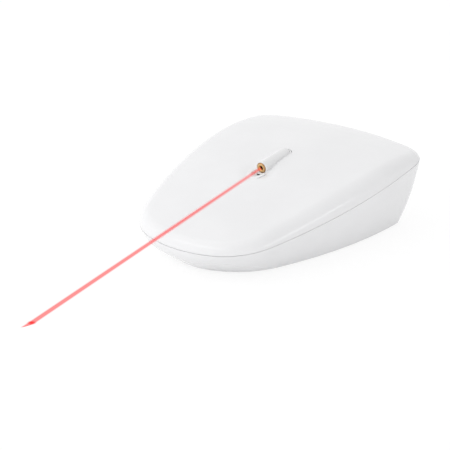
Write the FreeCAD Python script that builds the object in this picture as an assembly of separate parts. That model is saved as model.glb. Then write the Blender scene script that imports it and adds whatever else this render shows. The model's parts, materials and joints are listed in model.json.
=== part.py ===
import FreeCAD, Part
import math
import os
from FreeCAD import Vector

# Automatic laser toy for cats: a white wedge-shaped housing with a small laser barrel in its crowned top.
# All lengths are millimetres. The front is +X, the left side is +Y, and the toy stands on z = 0.

# Housing outline in the parting plane
BODY_LENGTH = 160.0
OUTLINE_ANGLES = (17.5, 71.3, 93.3, 165.1)
NOSE_R = 73.3
CHEEK_R = 35.2
SIDE_R = 296.5
CORNER_R = 18.3

# Parting plane
PARTING_TILT = 9.76
PARTING_Z = 28.9
PARTING_GAP = 0.25
CENTRE_X = -0.15

# Base outline on the underside
BASE_TIP_X = 64.9
BASE_LENGTH = 136.4
BASE_NOSE_R = 33.0
BASE_CHEEK_R = 40.6
BASE_SIDE_R = 247.0
BASE_CORNER_R = 11.5
BASE_BEVELS = ((1.6, 22.0), (0.7, 36.0))

# Crown of the top shell, measured from the parting plane
CROWN_HEIGHT = 12.9
CROWN_PEAK_X = -21.0
CROWN_REAR_R = 150.0
CROWN_FRONT_R = 608.0
CROWN_CROSS_R = 600.0
RIM_R = 8.0
WALL_DRAFT = 4.0

# Belly of the lower shell: how far it swells at a share of the way up from the base
BELLY_SHARE = 0.42
BELLY_BULGE = 0.9
BELLY_NOSE = 3.0

# Shell walls and the tongue that joins them
WALL = 2.2
FLOOR_THICKNESS = 2.2
TONGUE_HEIGHT = 1.6
TONGUE_DEPTH = 1.0
TONGUE_THICKNESS = 1.0
FIT_GAP = 0.15

# Feet
FOOT_HEIGHT = 0.3
FOOT_D = 10.0
FOOT_RECESS = 0.9
FOOT_PLACES = ((44.0, 14.0), (44.0, -14.0), (-54.0, 38.0), (-54.0, -38.0))

# Laser barrel
BARREL_D = 7.3
BARREL_EDGE_R = 0.3
BARREL_PITCH = 7.5
BARREL_FACE_X = 6.0
BARREL_FACE_Z = 40.7
BARREL_STEP = 20.2
SHUTTER_LEAD = 1.2
MODULE_D = 6.0
MODULE_LENGTH = 10.5
MODULE_PROUD = 0.55
APERTURE_D = 2.4
LENS_D = 3.2
LENS_FRONT = 1.7
LENS_REAR = 3.2
DIODE_ROOM = 7.0
DIODE_D = 4.0

# Travel of the laser head and the slot that it moves in
PAN_LIMIT = 2.5
PAN_STEP = 8.3
TILT_DOWN = 3.0
SLOT_GAP = 0.35
SLOT_LEAD = 1.4
RAMP_D = 8.6
RAMP_RISE = 0.5
RAMP_SLOPE = 18.0
RAMP_PAD = 1.6
DISH_R = 40.0
DISH_DEPTH = 1.4
DISH_LEAD = 2.0
DISH_WALL = 1.5
DISH_EDGE_R = 22.0

# Gimbal under the slot; steps are measured along the barrel from its tail centre
TILT_AXIS_DROP = 8.4
TRUNNION_D = 2.4
RUNNING_GAP = 0.03
EAR_GAP = 0.4
EAR_THICKNESS = 2.4
CRADLE_WIDTH = 11.6
PIVOT_POST_D = 6.0
YOKE_HUB_R = 8.8

# Gears
GEAR_MODULE = 0.5
PINION_TEETH = 12
WHEEL_TEETH = 36
TILT_SECTOR_TEETH = 72
PAN_SECTOR_TEETH = 72
TOOTH_SLACK = 0.06
GEAR_WIDTH = 2.0
TILT_MESH_ANGLE = -18.0

# Motors
MOTOR_WIDTH = 10.0
MOTOR_HEIGHT = 8.0
MOTOR_LENGTH = 12.0
SHAFT_D = 1.0
AXLE_D = 1.5

# Power cells and their bay
CELL_D = 14.5
CELL_LENGTH = 50.5
CELL_PITCH = 15.4
CELL_COUNT = 3
BAY_CENTRE_X = -40.0
BAY_GAP = 0.5
BAY_WALL = 1.6
CONTACT_ROOM = 3.6
DOOR_THICKNESS = 1.6
DOOR_GAP = 0.3

# Screws: head diameter, shank diameter and length under the head
DOOR_SCREW = (4.2, 2.0, 4.1)
PIVOT_SCREW = (3.6, 1.6, 5.0)
BOARD_SCREW = (3.4, 1.6, 5.0)
CHASSIS_SCREW = (3.8, 1.8, 4.0)
BRACKET_SCREW = (3.0, 1.4)

# Chassis and boards
CHASSIS_Z = 20.5
CHASSIS_THICKNESS = 2.0
BOARD_THICKNESS = 1.2
BUTTON_D = 10.0
BUTTON_Z = 26.0
BUTTON_TRAVEL = 0.8


def box(x0, x1, y0, y1, z0, z1):
    return Part.makeBox(x1 - x0, y1 - y0, z1 - z0, Vector(x0, y0, z0))


def rod(diameter, start, end):
    direction = end.sub(start)
    return Part.makeCylinder(diameter / 2, direction.Length, start, direction)


def upright(diameter, x, y, z0, z1):
    return rod(diameter, Vector(x, y, z0), Vector(x, y, z1))


def joined(first, others):
    return first.multiFuse(others).removeSplitter()


def rounded_plate(x0, x1, y0, y1, z0, z1, radius):
    plate = box(x0, x1, y0, y1, z0, z1)
    corners = [edge for edge in plate.Edges if abs(edge.tangentAt(edge.FirstParameter).z) > 0.99]
    return plate.makeFillet(radius, corners)


def hardware_head(diameter, height, x, y, z, up):
    # A pan head with a cross recess, its flat side at z.
    sign = 1 if up else -1
    head = rod(diameter, Vector(x, y, z), Vector(x, y, z + sign * height))
    rim = [edge for edge in head.Edges if abs(edge.CenterOfMass.z - z - sign * height) < 0.01]
    head = head.makeFillet(height * 0.4, rim)
    top = z + sign * height
    half = diameter * 0.3
    slot = diameter * 0.07
    low, high = sorted((top, top - sign * height * 0.5))
    cross = box(x - half, x + half, y - slot, y + slot, low, high)
    cross = cross.fuse(box(x - slot, x + slot, y - half, y + half, low, high))
    return head.cut(cross)


def screw(head_d, shank_d, length, x, y, z, up):
    # z is the bearing plane under the head; the shank runs away from the head.
    sign = 1 if up else -1
    head = hardware_head(head_d, head_d * 0.42, x, y, z, up)
    shank = rod(shank_d, Vector(x, y, z), Vector(x, y, z - sign * length))
    return joined(head, [shank])


# Outlines: one chain of tangent arcs from the nose round to the back, mirrored to the other side.
def half_outline(tip_x, radii, inset):
    # Arc list of the left half as (centre x, centre y, radius, start angle, end angle).
    angles = [0.0] + [math.radians(angle) for angle in OUTLINE_ANGLES]
    x = tip_x - inset
    y = 0.0
    arcs = []
    for index, radius in enumerate(radius - inset for radius in radii):
        centre_x = x - radius * math.cos(angles[index])
        centre_y = y - radius * math.sin(angles[index])
        arcs.append((centre_x, centre_y, radius, angles[index], angles[index + 1]))
        x = centre_x + radius * math.cos(angles[index + 1])
        y = centre_y + radius * math.sin(angles[index + 1])
    back_radius = y / math.sin(angles[-1])
    arcs.append((x - back_radius * math.cos(angles[-1]), 0.0, back_radius, angles[-1], math.pi))
    return arcs


def arc_edge(arc, start, end, mirror):
    centre_x, centre_y, radius = arc[:3]
    points = []
    for angle in (start, (start + end) / 2, end):
        y = centre_y + radius * math.sin(angle)
        points.append(Vector(centre_x + radius * math.cos(angle), -y if mirror else y, 0))
    return Part.Arc(*points).toShape()


def outline(tip_x, radii, inset):
    arcs = half_outline(tip_x, radii, inset)
    nose = arcs[0]
    back = arcs[-1]
    edges = [arc_edge(nose, -nose[4], nose[4], False)]
    for arc in arcs[1:-1]:
        edges.append(arc_edge(arc, arc[3], arc[4], False))
    edges.append(arc_edge(back, back[3], 2 * math.pi - back[3], False))
    for arc in reversed(arcs[1:-1]):
        edges.append(arc_edge(arc, arc[4], arc[3], True))
    return Part.Wire(edges)


PARTING_RADII = (NOSE_R, CHEEK_R, SIDE_R, CORNER_R)
BASE_RADII = (BASE_NOSE_R, BASE_CHEEK_R, BASE_SIDE_R, BASE_CORNER_R)


def parting_placement():
    return FreeCAD.Placement(Vector(CENTRE_X, 0, PARTING_Z), FreeCAD.Rotation(Vector(0, 1, 0), PARTING_TILT))


def parting_outline(inset, height):
    # The parting outline at a height over the parting plane, in that plane's own frame.
    wire = outline(BODY_LENGTH / 2, PARTING_RADII, inset)
    wire.translate(Vector(0, 0, height))
    return wire


def placed_outline(inset, height):
    wire = parting_outline(inset, height)
    wire.Placement = parting_placement().multiply(wire.Placement)
    return wire


def base_outline(inset, z):
    wire = outline(BASE_TIP_X, BASE_RADII, inset)
    wire.translate(Vector(0, 0, z))
    return wire


def prism(inset, low, high):
    # An upright block on the parting outline, in the parting plane's frame.
    face = Part.Face(parting_outline(inset, low))
    return face.extrude(Vector(0, 0, high - low))


def belly_outline(inset, low_z):
    # The swollen outline part of the way up, on a plane between the floor and the parting plane.
    swell = BELLY_BULGE - inset
    share = BELLY_SHARE
    radii = [low * (1 - share) + high * share + swell for low, high in zip(BASE_RADII, PARTING_RADII)]
    first, last = (math.radians(angle) for angle in OUTLINE_ANGLES[1:3])
    radii[2] += BELLY_NOSE / (math.cos(first) - math.cos(last))
    tip_x = BASE_TIP_X * (1 - share) + BODY_LENGTH / 2 * share + swell + BELLY_NOSE
    wire = outline(tip_x, radii, 0.0)
    lift = Vector(CENTRE_X * share, 0, low_z * (1 - share) + PARTING_Z * share)
    wire.Placement = FreeCAD.Placement(lift, FreeCAD.Rotation(Vector(0, 1, 0), PARTING_TILT * share))
    return wire


def crown_arc(radius, drop, end_x):
    # Half the crown's side profile, from its peak to one end, lowered by drop.
    centre = Vector(CROWN_PEAK_X, 0, CROWN_HEIGHT - radius)
    trimmed = radius - drop
    outer = math.asin((end_x - centre.x) / trimmed)
    angles = (0.0, outer / 2, outer)
    return [centre + Vector(math.sin(angle), 0, math.cos(angle)) * trimmed for angle in angles]


def crown_block(drop):
    # The space under the crown: a two-arc side profile turned about an axis far below.
    floor_z = FORM_LOW - 5
    rear = crown_arc(CROWN_REAR_R, drop, -BODY_LENGTH * 0.6)
    front = crown_arc(CROWN_FRONT_R, drop, BODY_LENGTH * 0.6)
    ends = [rear[2], Vector(rear[2].x, 0, floor_z), Vector(front[2].x, 0, floor_z), front[2]]
    edges = [Part.Arc(*reversed(front)).toShape(), Part.Arc(*rear).toShape()]
    edges += [Part.makeLine(ends[index], ends[index + 1]) for index in range(3)]
    face = Part.Face(Part.Wire(edges))
    axis_point = Vector(0, 0, CROWN_HEIGHT - CROWN_CROSS_R)
    half_angle = math.degrees(math.asin(BODY_LENGTH * 0.5 / CROWN_CROSS_R))
    face.rotate(axis_point, Vector(1, 0, 0), -half_angle)
    return face.revolve(axis_point, Vector(1, 0, 0), 2 * half_angle)


FORM_LOW = -50.0


def crowned_form(inset):
    # The crown rolled over into its side wall, far down past the parting plane, in that plane's frame.
    top = CROWN_HEIGHT + 4
    draft = math.tan(math.radians(WALL_DRAFT))
    low = parting_outline(inset + FORM_LOW * draft, FORM_LOW)
    high = parting_outline(inset + top * draft, top)
    body = Part.makeLoft([low, high], True, True).common(crown_block(inset))
    rim = []
    for edge in body.Edges:
        middle = edge.valueAt((edge.FirstParameter + edge.LastParameter) / 2)
        low_end = min(vertex.Point.z for vertex in edge.Vertexes)
        if low_end > FORM_LOW + 1 and (abs(middle.y) > 3 or abs(middle.x) > BODY_LENGTH / 4):
            rim.append(edge)
    return body.makeFillet(RIM_R - inset, rim)


def slab(low, high):
    # Everything between two heights over the parting plane, in that plane's frame.
    return box(-BODY_LENGTH, BODY_LENGTH, -BODY_LENGTH, BODY_LENGTH, low, high)


def on_parting_plane(shape):
    shape.Placement = parting_placement()
    return shape


# Frame of the laser barrel: its origin is the centre of the round tail, x runs out of the nose.
def barrel_placement():
    pitch = math.radians(BARREL_PITCH)
    back = Vector(-math.cos(pitch), 0, math.sin(pitch)) * BARREL_STEP
    tail = Vector(BARREL_FACE_X, 0, BARREL_FACE_Z) + back
    return FreeCAD.Placement(tail, FreeCAD.Rotation(Vector(0, 1, 0), BARREL_PITCH))


def in_barrel_frame(shape):
    moved = shape.copy()
    moved.Placement = barrel_placement().multiply(moved.Placement)
    return moved


def tilt_axis_point():
    return barrel_placement().multVec(Vector(0, 0, -TILT_AXIS_DROP))


TILT_AXIS = tilt_axis_point()
PAN_X = barrel_placement().multVec(Vector(PAN_STEP, 0, 0)).x


def slot_half_width(step):
    # Half the slot's width at a place along the barrel: the barrel, its gap and its swing about the pan axis.
    return BARREL_D / 2 + SLOT_GAP + abs(step - PAN_STEP) * math.tan(math.radians(PAN_LIMIT))


def slot_tool():
    # The barrel's sweep seen from above, as a block through the shell.
    back_swing = TILT_AXIS_DROP * math.sin(math.radians(TILT_DOWN))
    front_x = BARREL_STEP + SLOT_LEAD
    low = -12.0
    tail = Vector(-back_swing, slot_half_width(0), low)
    waist = Vector(PAN_STEP, slot_half_width(PAN_STEP), low)
    front = Vector(front_x, slot_half_width(front_x), low)
    side = [tail, waist, front]
    other = [Vector(point.x, -point.y, point.z) for point in reversed(side)]
    corners = side + other
    edges = [Part.makeLine(corners[index], corners[index + 1]) for index in range(len(corners) - 1)]
    edges.append(Part.Arc(other[-1], Vector(tail.x - tail.y, 0, low), tail).toShape())
    return in_barrel_frame(Part.Face(Part.Wire(edges)).extrude(Vector(0, 0, 24)))


def ramp_rod(diameter, start):
    # A rod that climbs out of the slot's front end, for the ramp under the beam.
    front = BARREL_STEP + SLOT_LEAD
    tool = rod(diameter, Vector(start, 0, 0), Vector(start + 30, 0, 0))
    tool.rotate(Vector(0, 0, 0), Vector(0, 1, 0), -RAMP_SLOPE)
    tool.translate(Vector(front, 0, RAMP_RISE))
    return in_barrel_frame(tool)


def dish_centre():
    # Centre of the ball that dips into the crown just ahead of the barrel, in the parting plane's frame.
    x = (BARREL_FACE_X + DISH_LEAD - CENTRE_X) / math.cos(math.radians(PARTING_TILT))
    crown_z = CROWN_HEIGHT - (x - CROWN_PEAK_X) ** 2 / (2 * CROWN_FRONT_R)
    return Vector(x, 0, crown_z - DISH_DEPTH + DISH_R)


def dish_backing():
    # Wall under the dish, from just inside its surface.
    backing = Part.makeSphere(DISH_R + DISH_WALL, dish_centre())
    return on_parting_plane(backing.cut(Part.makeSphere(DISH_R + 0.3, dish_centre())))


def dished_form():
    # The outer form with the dish in it, the dish's edge eased into the crown.
    centre = dish_centre()
    form = crowned_form(0.0).cut(Part.makeSphere(DISH_R, centre))
    edges = []
    for edge in form.Edges:
        middle = edge.valueAt((edge.FirstParameter + edge.LastParameter) / 2)
        if abs(middle.distanceToPoint(centre) - DISH_R) < 0.01:
            edges.append(edge)
    return form.makeFillet(DISH_EDGE_R, edges)


# Screw posts that join the two shells: (x, y) of each
POST_PLACES = ((56.0, 0.0), (-2.0, 41.0), (-2.0, -41.0), (-61.0, 40.0), (-61.0, -40.0))
POST_D = 7.0
POST_SPLIT_Z = 16.0
SHELL_SCREW_D = 2.6
SHELL_SCREW_HEAD_D = 5.0
SHELL_SCREW_SEAT_Z = 6.0
SHELL_SCREW_LENGTH = 13.0
BASE_Z = FOOT_HEIGHT
FLOOR_TOP_Z = BASE_Z + FLOOR_THICKNESS


def make_top_shell():
    filled = on_parting_plane(crowned_form(0.5).common(slab(0.0, CROWN_HEIGHT + 5)))
    shell = dished_form().common(slab(0.0, CROWN_HEIGHT + 5)).cut(crowned_form(WALL))
    rebate_inset = WALL - TONGUE_THICKNESS - FIT_GAP
    shell = shell.cut(crowned_form(rebate_inset).common(slab(-1.0, TONGUE_HEIGHT + FIT_GAP)))
    shell = on_parting_plane(shell)
    posts = [upright(POST_D, x, y, POST_SPLIT_Z, PARTING_Z + 30) for x, y in POST_PLACES]
    pads = [ramp_rod(RAMP_D + 2 * RAMP_PAD, SHUTTER_LEAD), dish_backing()]
    for extra in posts + pads:
        shell = shell.fuse(extra.common(filled))
    hole_top = SHELL_SCREW_SEAT_Z + SHELL_SCREW_LENGTH + 0.6
    holes = [upright(SHELL_SCREW_D, x, y, POST_SPLIT_Z - 1, hole_top) for x, y in POST_PLACES]
    for tool in holes + [slot_tool(), ramp_rod(RAMP_D, -1.0)]:
        shell = shell.cut(tool)
    return shell.removeSplitter()


def bay_limits():
    half_x = ((CELL_COUNT - 1) * CELL_PITCH + CELL_D) / 2 + BAY_GAP
    half_y = CELL_LENGTH / 2 + CONTACT_ROOM
    return BAY_CENTRE_X - half_x, BAY_CENTRE_X + half_x, half_y


BAY_X0, BAY_X1, BAY_Y = bay_limits()
CELL_Z = BASE_Z + DOOR_THICKNESS + BAY_GAP + CELL_D / 2
BAY_TOP_Z = CELL_Z + CELL_D / 2 + BAY_GAP
DOOR_AXIS_X = BAY_X1 + 1.2
DOOR_AXIS_Z = BASE_Z + DOOR_THICKNESS / 2
DOOR_REAR_X = BAY_X0 - 4.0
DOOR_PIN_D = 0.9
DOOR_SCREW_X = DOOR_REAR_X + 2.6
DOOR_SEAT = 0.9
DOOR_GROOVES = 5
DOOR_GROOVE_PITCH = 2.0
DOOR_GROOVE_WIDTH = 0.8
CHASSIS_X0 = BAY_X0 + 3.0
CHASSIS_X1 = 10.0
CHASSIS_FEET = ((CHASSIS_X0 + 4, 20.0), (CHASSIS_X0 + 4, -20.0),
                (CHASSIS_X1 - 4, 18.0), (CHASSIS_X1 - 4, -18.0))
BOARD_Z = 9.0
BOARD_X0 = 10.0
BOARD_X1 = 47.0
BOARD_Y = 19.0
BOARD_FEET = ((BOARD_X0 + 3, BOARD_Y - 3), (BOARD_X0 + 3, 3 - BOARD_Y), (BOARD_X1 - 3, BOARD_Y - 3),
              (BOARD_X1 - 3, 3 - BOARD_Y))


# The back wall leans out from the floor to the parting plane; the button works square to it.
def back_wall_frame():
    tilt = math.radians(PARTING_TILT)
    top = Vector(CENTRE_X - BODY_LENGTH / 2 * math.cos(tilt), 0, PARTING_Z + BODY_LENGTH / 2 * math.sin(tilt))
    bottom = Vector(BASE_TIP_X - BASE_LENGTH, 0, BASE_Z)
    run = top.sub(bottom)
    share = (BUTTON_Z - bottom.z) / run.z
    swell = BELLY_BULGE * share * (1 - share) / (BELLY_SHARE * (1 - BELLY_SHARE))
    centre = bottom.add(run * share) - Vector(swell, 0, 0)
    lean = math.degrees(math.atan2(top.x - bottom.x, run.z))
    return centre, lean


def in_wall_frame(shape):
    # Local x points out of the back wall at the button's centre.
    centre, lean = back_wall_frame()
    turn = FreeCAD.Rotation(Vector(0, 1, 0), lean).multiply(FreeCAD.Rotation(Vector(0, 0, 1), 180))
    moved = shape.copy()
    moved.Placement = FreeCAD.Placement(centre, turn).multiply(moved.Placement)
    return moved


def local_rod(diameter, x0, x1, y=0.0, z=0.0):
    return rod(diameter, Vector(x0, y, z), Vector(x1, y, z))


def lower_body(inset, low_z):
    sections = [base_outline(inset, low_z), belly_outline(inset, low_z), placed_outline(inset, 0.0)]
    return Part.makeLoft(sections, True)


def bevel_flare(inset, angle):
    # A dish that opens upwards at the angle from an inset base outline; it trims the lower edge.
    height = PARTING_Z * 2
    spread = height / math.tan(math.radians(angle))
    sections = [base_outline(inset, BASE_Z), base_outline(inset - spread, BASE_Z + height)]
    return Part.makeLoft(sections, True, True)


def make_bottom_shell():
    outside = lower_body(0.0, BASE_Z).common(on_parting_plane(crowned_form(0.0)))
    for inset, angle in BASE_BEVELS:
        outside = outside.common(bevel_flare(inset, angle))
    inner_form = crowned_form(WALL)
    tongue_form = crowned_form(WALL - TONGUE_THICKNESS)
    hollow = lower_body(WALL, FLOOR_TOP_Z).fuse(on_parting_plane(prism(WALL, -PARTING_GAP, 6.0)))
    hollow = hollow.common(on_parting_plane(inner_form.copy()))
    inner = lower_body(WALL - 0.5, BASE_Z + 0.5)
    gap = on_parting_plane(slab(-PARTING_GAP, 1.0).cut(tongue_form))
    tongue = on_parting_plane(tongue_form.common(slab(-TONGUE_DEPTH, TONGUE_HEIGHT)).cut(inner_form))
    shell = outside.cut(hollow).cut(gap).fuse(tongue)

    bay = box(BAY_X0 - BAY_WALL, BAY_X1 + BAY_WALL, -BAY_Y - BAY_WALL, BAY_Y + BAY_WALL, BASE_Z + 1,
              BAY_TOP_Z + BAY_WALL)
    posts = [upright(POST_D, x, y, BASE_Z + 1, POST_SPLIT_Z) for x, y in POST_PLACES]
    posts += [upright(5.0, x, y, BASE_Z + 1, CHASSIS_Z) for x, y in CHASSIS_FEET]
    posts += [upright(4.4, x, y, BASE_Z + 1, BOARD_Z) for x, y in BOARD_FEET]
    posts = [post.common(inner) for post in posts]
    shell = shell.multiFuse([bay] + posts)

    cuts = [box(BAY_X0, BAY_X1, -BAY_Y, BAY_Y, BASE_Z + DOOR_THICKNESS, BAY_TOP_Z)]
    cuts.append(door_shape(DOOR_GAP, BASE_Z - 1))
    cuts.append(rod(DOOR_PIN_D + 0.1, Vector(DOOR_AXIS_X, -BAY_Y - 3, DOOR_AXIS_Z),
                    Vector(DOOR_AXIS_X, BAY_Y + 3, DOOR_AXIS_Z)))
    cuts.append(upright(2.6, DOOR_SCREW_X, 0, BASE_Z, BASE_Z + 8))
    for x, y in POST_PLACES:
        cuts.append(upright(SHELL_SCREW_HEAD_D + 0.6, x, y, BASE_Z - 1, SHELL_SCREW_SEAT_Z))
        cuts.append(upright(SHELL_SCREW_D + 0.4, x, y, BASE_Z, POST_SPLIT_Z + 1))
    for x, y in FOOT_PLACES:
        cuts.append(upright(FOOT_D, x, y, BASE_Z - 1, BASE_Z + FOOT_RECESS))
    for x, y in BOARD_FEET:
        cuts.append(upright(BOARD_SCREW[1], x, y, BOARD_Z - 5, BOARD_Z + 1))
    chassis_screw_tip = CHASSIS_Z + CHASSIS_THICKNESS - CHASSIS_SCREW[2]
    for x, y in CHASSIS_FEET:
        cuts.append(upright(CHASSIS_SCREW[1], x, y, chassis_screw_tip - 0.3, CHASSIS_Z + 1))
    cuts.append(in_wall_frame(local_rod(BUTTON_D + 0.5, -12, 5)))
    return shell.cut(Part.makeCompound(cuts)).removeSplitter()


def door_shape(margin, bottom):
    plate = box(DOOR_REAR_X - margin, DOOR_AXIS_X, -BAY_Y - margin + 0.6, BAY_Y + margin - 0.6, bottom,
                BASE_Z + DOOR_THICKNESS + (margin if margin else 0))
    edge = rod(DOOR_THICKNESS + 2 * margin, Vector(DOOR_AXIS_X, -BAY_Y - margin + 0.6, DOOR_AXIS_Z),
               Vector(DOOR_AXIS_X, BAY_Y + margin - 0.6, DOOR_AXIS_Z))
    return joined(plate, [edge])


def make_battery_door():
    door = door_shape(0.0, BASE_Z)
    pins = rod(DOOR_PIN_D, Vector(DOOR_AXIS_X, -BAY_Y - 2.0, DOOR_AXIS_Z),
               Vector(DOOR_AXIS_X, BAY_Y + 2.0, DOOR_AXIS_Z))
    grooves = []
    for step in range(DOOR_GROOVES):
        x = DOOR_REAR_X + 9 + DOOR_GROOVE_PITCH * step
        grooves.append(box(x, x + DOOR_GROOVE_WIDTH, -9, 9, BASE_Z - 0.1, BASE_Z + 0.35))
    seat = upright(DOOR_SCREW[0] + 0.4, DOOR_SCREW_X, 0, BASE_Z - 1, BASE_Z + DOOR_SEAT)
    hole = upright(DOOR_SCREW[1] + 0.3, DOOR_SCREW_X, 0, BASE_Z - 1, BASE_Z + 4)
    return joined(door, [pins]).cut(Part.makeCompound(grooves + [seat, hole]))


def make_door_screw():
    head_d, shank_d, length = DOOR_SCREW
    head = upright(head_d, DOOR_SCREW_X, 0, BASE_Z + 0.05, BASE_Z + DOOR_SEAT)
    shank = upright(shank_d, DOOR_SCREW_X, 0, BASE_Z + DOOR_SEAT, BASE_Z + DOOR_SEAT + length)
    slot = box(DOOR_SCREW_X - 2.2, DOOR_SCREW_X + 2.2, -0.35, 0.35, BASE_Z, BASE_Z + 0.45)
    return joined(head, [shank]).cut(slot)


def make_feet():
    feet = []
    for x, y in FOOT_PLACES:
        foot = upright(FOOT_D, x, y, 0, BASE_Z + FOOT_RECESS)
        rim = [edge for edge in foot.Edges if edge.BoundBox.ZMax < 0.01]
        feet.append(foot.makeFillet(0.4, rim))
    return Part.makeCompound(feet)


def make_shell_screws():
    screws = [screw(SHELL_SCREW_HEAD_D, SHELL_SCREW_D, SHELL_SCREW_LENGTH, x, y, SHELL_SCREW_SEAT_Z, False)
              for x, y in POST_PLACES]
    return Part.makeCompound(screws)


# Laser head
STEM_X0 = -3.0
STEM_X1 = 6.2
STEM_Y = 1.7
WIRE_WAY_X = 3.4
SHUTTER_TOP = -BARREL_D / 2 - 1.1
SHUTTER_THICKNESS = 0.8
SHUTTER_GAP = 0.7
CRADLE_TOP = SHUTTER_TOP - SHUTTER_THICKNESS
STEM_FOOT = CRADLE_TOP - 1.2
CRADLE_FLOOR = -TILT_AXIS_DROP - 1.6


def capsule(radius, length, edge_r):
    # A rod along x with a round tail on the origin and an eased rim at its nose.
    diagonal = edge_r * (1 - math.sqrt(0.5))
    tail_middle = Vector(-radius * math.sqrt(0.5), 0, radius * math.sqrt(0.5))
    tail = Part.Arc(Vector(-radius, 0, 0), tail_middle, Vector(0, 0, radius))
    rim = Part.Arc(Vector(length - edge_r, 0, radius), Vector(length - diagonal, 0, radius - diagonal),
                   Vector(length, 0, radius - edge_r))
    edges = [tail.toShape()]
    edges.append(Part.makeLine(Vector(0, 0, radius), Vector(length - edge_r, 0, radius)))
    edges.append(rim.toShape())
    edges.append(Part.makeLine(Vector(length, 0, radius - edge_r), Vector(length, 0, 0)))
    edges.append(Part.makeLine(Vector(length, 0, 0), Vector(-radius, 0, 0)))
    return Part.Face(Part.Wire(edges)).revolve(Vector(0, 0, 0), Vector(1, 0, 0), 360)


def make_laser_barrel():
    stem = box(STEM_X0, STEM_X1, -STEM_Y, STEM_Y, STEM_FOOT, 0)
    barrel = joined(capsule(BARREL_D / 2, BARREL_STEP, BARREL_EDGE_R), [stem])
    bore = local_rod(MODULE_D, BARREL_STEP - MODULE_LENGTH + MODULE_PROUD, BARREL_STEP + 1)
    board_room = local_rod(4.8, 2.5, BARREL_STEP)
    wire_way = rod(2.0, Vector(WIRE_WAY_X, 0, 0), Vector(WIRE_WAY_X, 0, STEM_FOOT - 1))
    return in_barrel_frame(barrel.cut(Part.makeCompound([bore, board_room, wire_way])))


def make_laser_module():
    rear = BARREL_STEP - MODULE_LENGTH + MODULE_PROUD
    front = BARREL_STEP + MODULE_PROUD
    case = local_rod(MODULE_D, rear, front)
    face = [edge for edge in case.Edges if abs(edge.CenterOfMass.x - front) < 0.01]
    case = case.makeChamfer(0.45, face)
    mouth = Vector(front - 1.2, 0, 0)
    cone = Part.makeCone(APERTURE_D / 2 - 0.5, APERTURE_D / 2 + 0.3, 1.2, mouth, Vector(1, 0, 0))
    seat = local_rod(LENS_D, front - LENS_REAR, front - LENS_FRONT)
    bore = local_rod(APERTURE_D - 1.0, front - DIODE_ROOM, front)
    back = local_rod(DIODE_D, rear - 1, front - DIODE_ROOM)
    return in_barrel_frame(case.cut(Part.makeCompound([cone, seat, bore, back])))


def make_laser_lens():
    front = BARREL_STEP + MODULE_PROUD
    return in_barrel_frame(local_rod(LENS_D, front - LENS_REAR, front - LENS_FRONT))


def make_laser_diode():
    front = BARREL_STEP + MODULE_PROUD
    rear = BARREL_STEP - MODULE_LENGTH + MODULE_PROUD
    can = local_rod(DIODE_D, rear, rear + 1.2)
    cap = local_rod(DIODE_D - 1.0, rear, front - DIODE_ROOM - 0.4)
    return in_barrel_frame(joined(can, [cap]))


def make_laser_board():
    rear = BARREL_STEP - MODULE_LENGTH + MODULE_PROUD
    board = box(rear - 6.5, rear, -2.0, 2.0, -0.4, 0.4)
    chip = box(rear - 4.5, rear - 2.5, -1.0, 1.0, 0.4, 1.1)
    return in_barrel_frame(joined(board, [chip]))


def make_barrel_shutter():
    front = BARREL_STEP + SLOT_LEAD + SHUTTER_LEAD - SHUTTER_GAP
    plate = rounded_plate(-8.6, front, -8.4, 8.4, CRADLE_TOP, SHUTTER_TOP, 3.0)
    return in_barrel_frame(plate.cut(box(STEM_X0, STEM_X1, -STEM_Y, STEM_Y, CRADLE_TOP - 1, SHUTTER_TOP + 1)))


def make_tilt_cradle():
    half = CRADLE_WIDTH / 2
    block = box(STEM_X0 - 1.6, STEM_X1 + 1.6, -half, half, CRADLE_FLOOR, CRADLE_TOP)
    block = block.cut(box(STEM_X0, STEM_X1, -STEM_Y, STEM_Y, STEM_FOOT, CRADLE_TOP + 1))
    reach = half + EAR_GAP + EAR_THICKNESS
    pins = rod(TRUNNION_D, Vector(0, -reach - 0.4 - GEAR_WIDTH, -TILT_AXIS_DROP),
               Vector(0, reach + 0.3, -TILT_AXIS_DROP))
    cradle = joined(block, [pins])
    wire_way = rod(2.0, Vector(WIRE_WAY_X, 0, CRADLE_FLOOR - 1), Vector(WIRE_WAY_X, 0, CRADLE_TOP))
    return in_barrel_frame(cradle.cut(wire_way))


# Gears
def involute_angle(radius, base_radius):
    if radius <= base_radius:
        return 0.0
    pressure = math.acos(base_radius / radius)
    return math.tan(pressure) - pressure


def polar(radius, angle):
    return Vector(radius * math.cos(angle), radius * math.sin(angle), 0)


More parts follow.
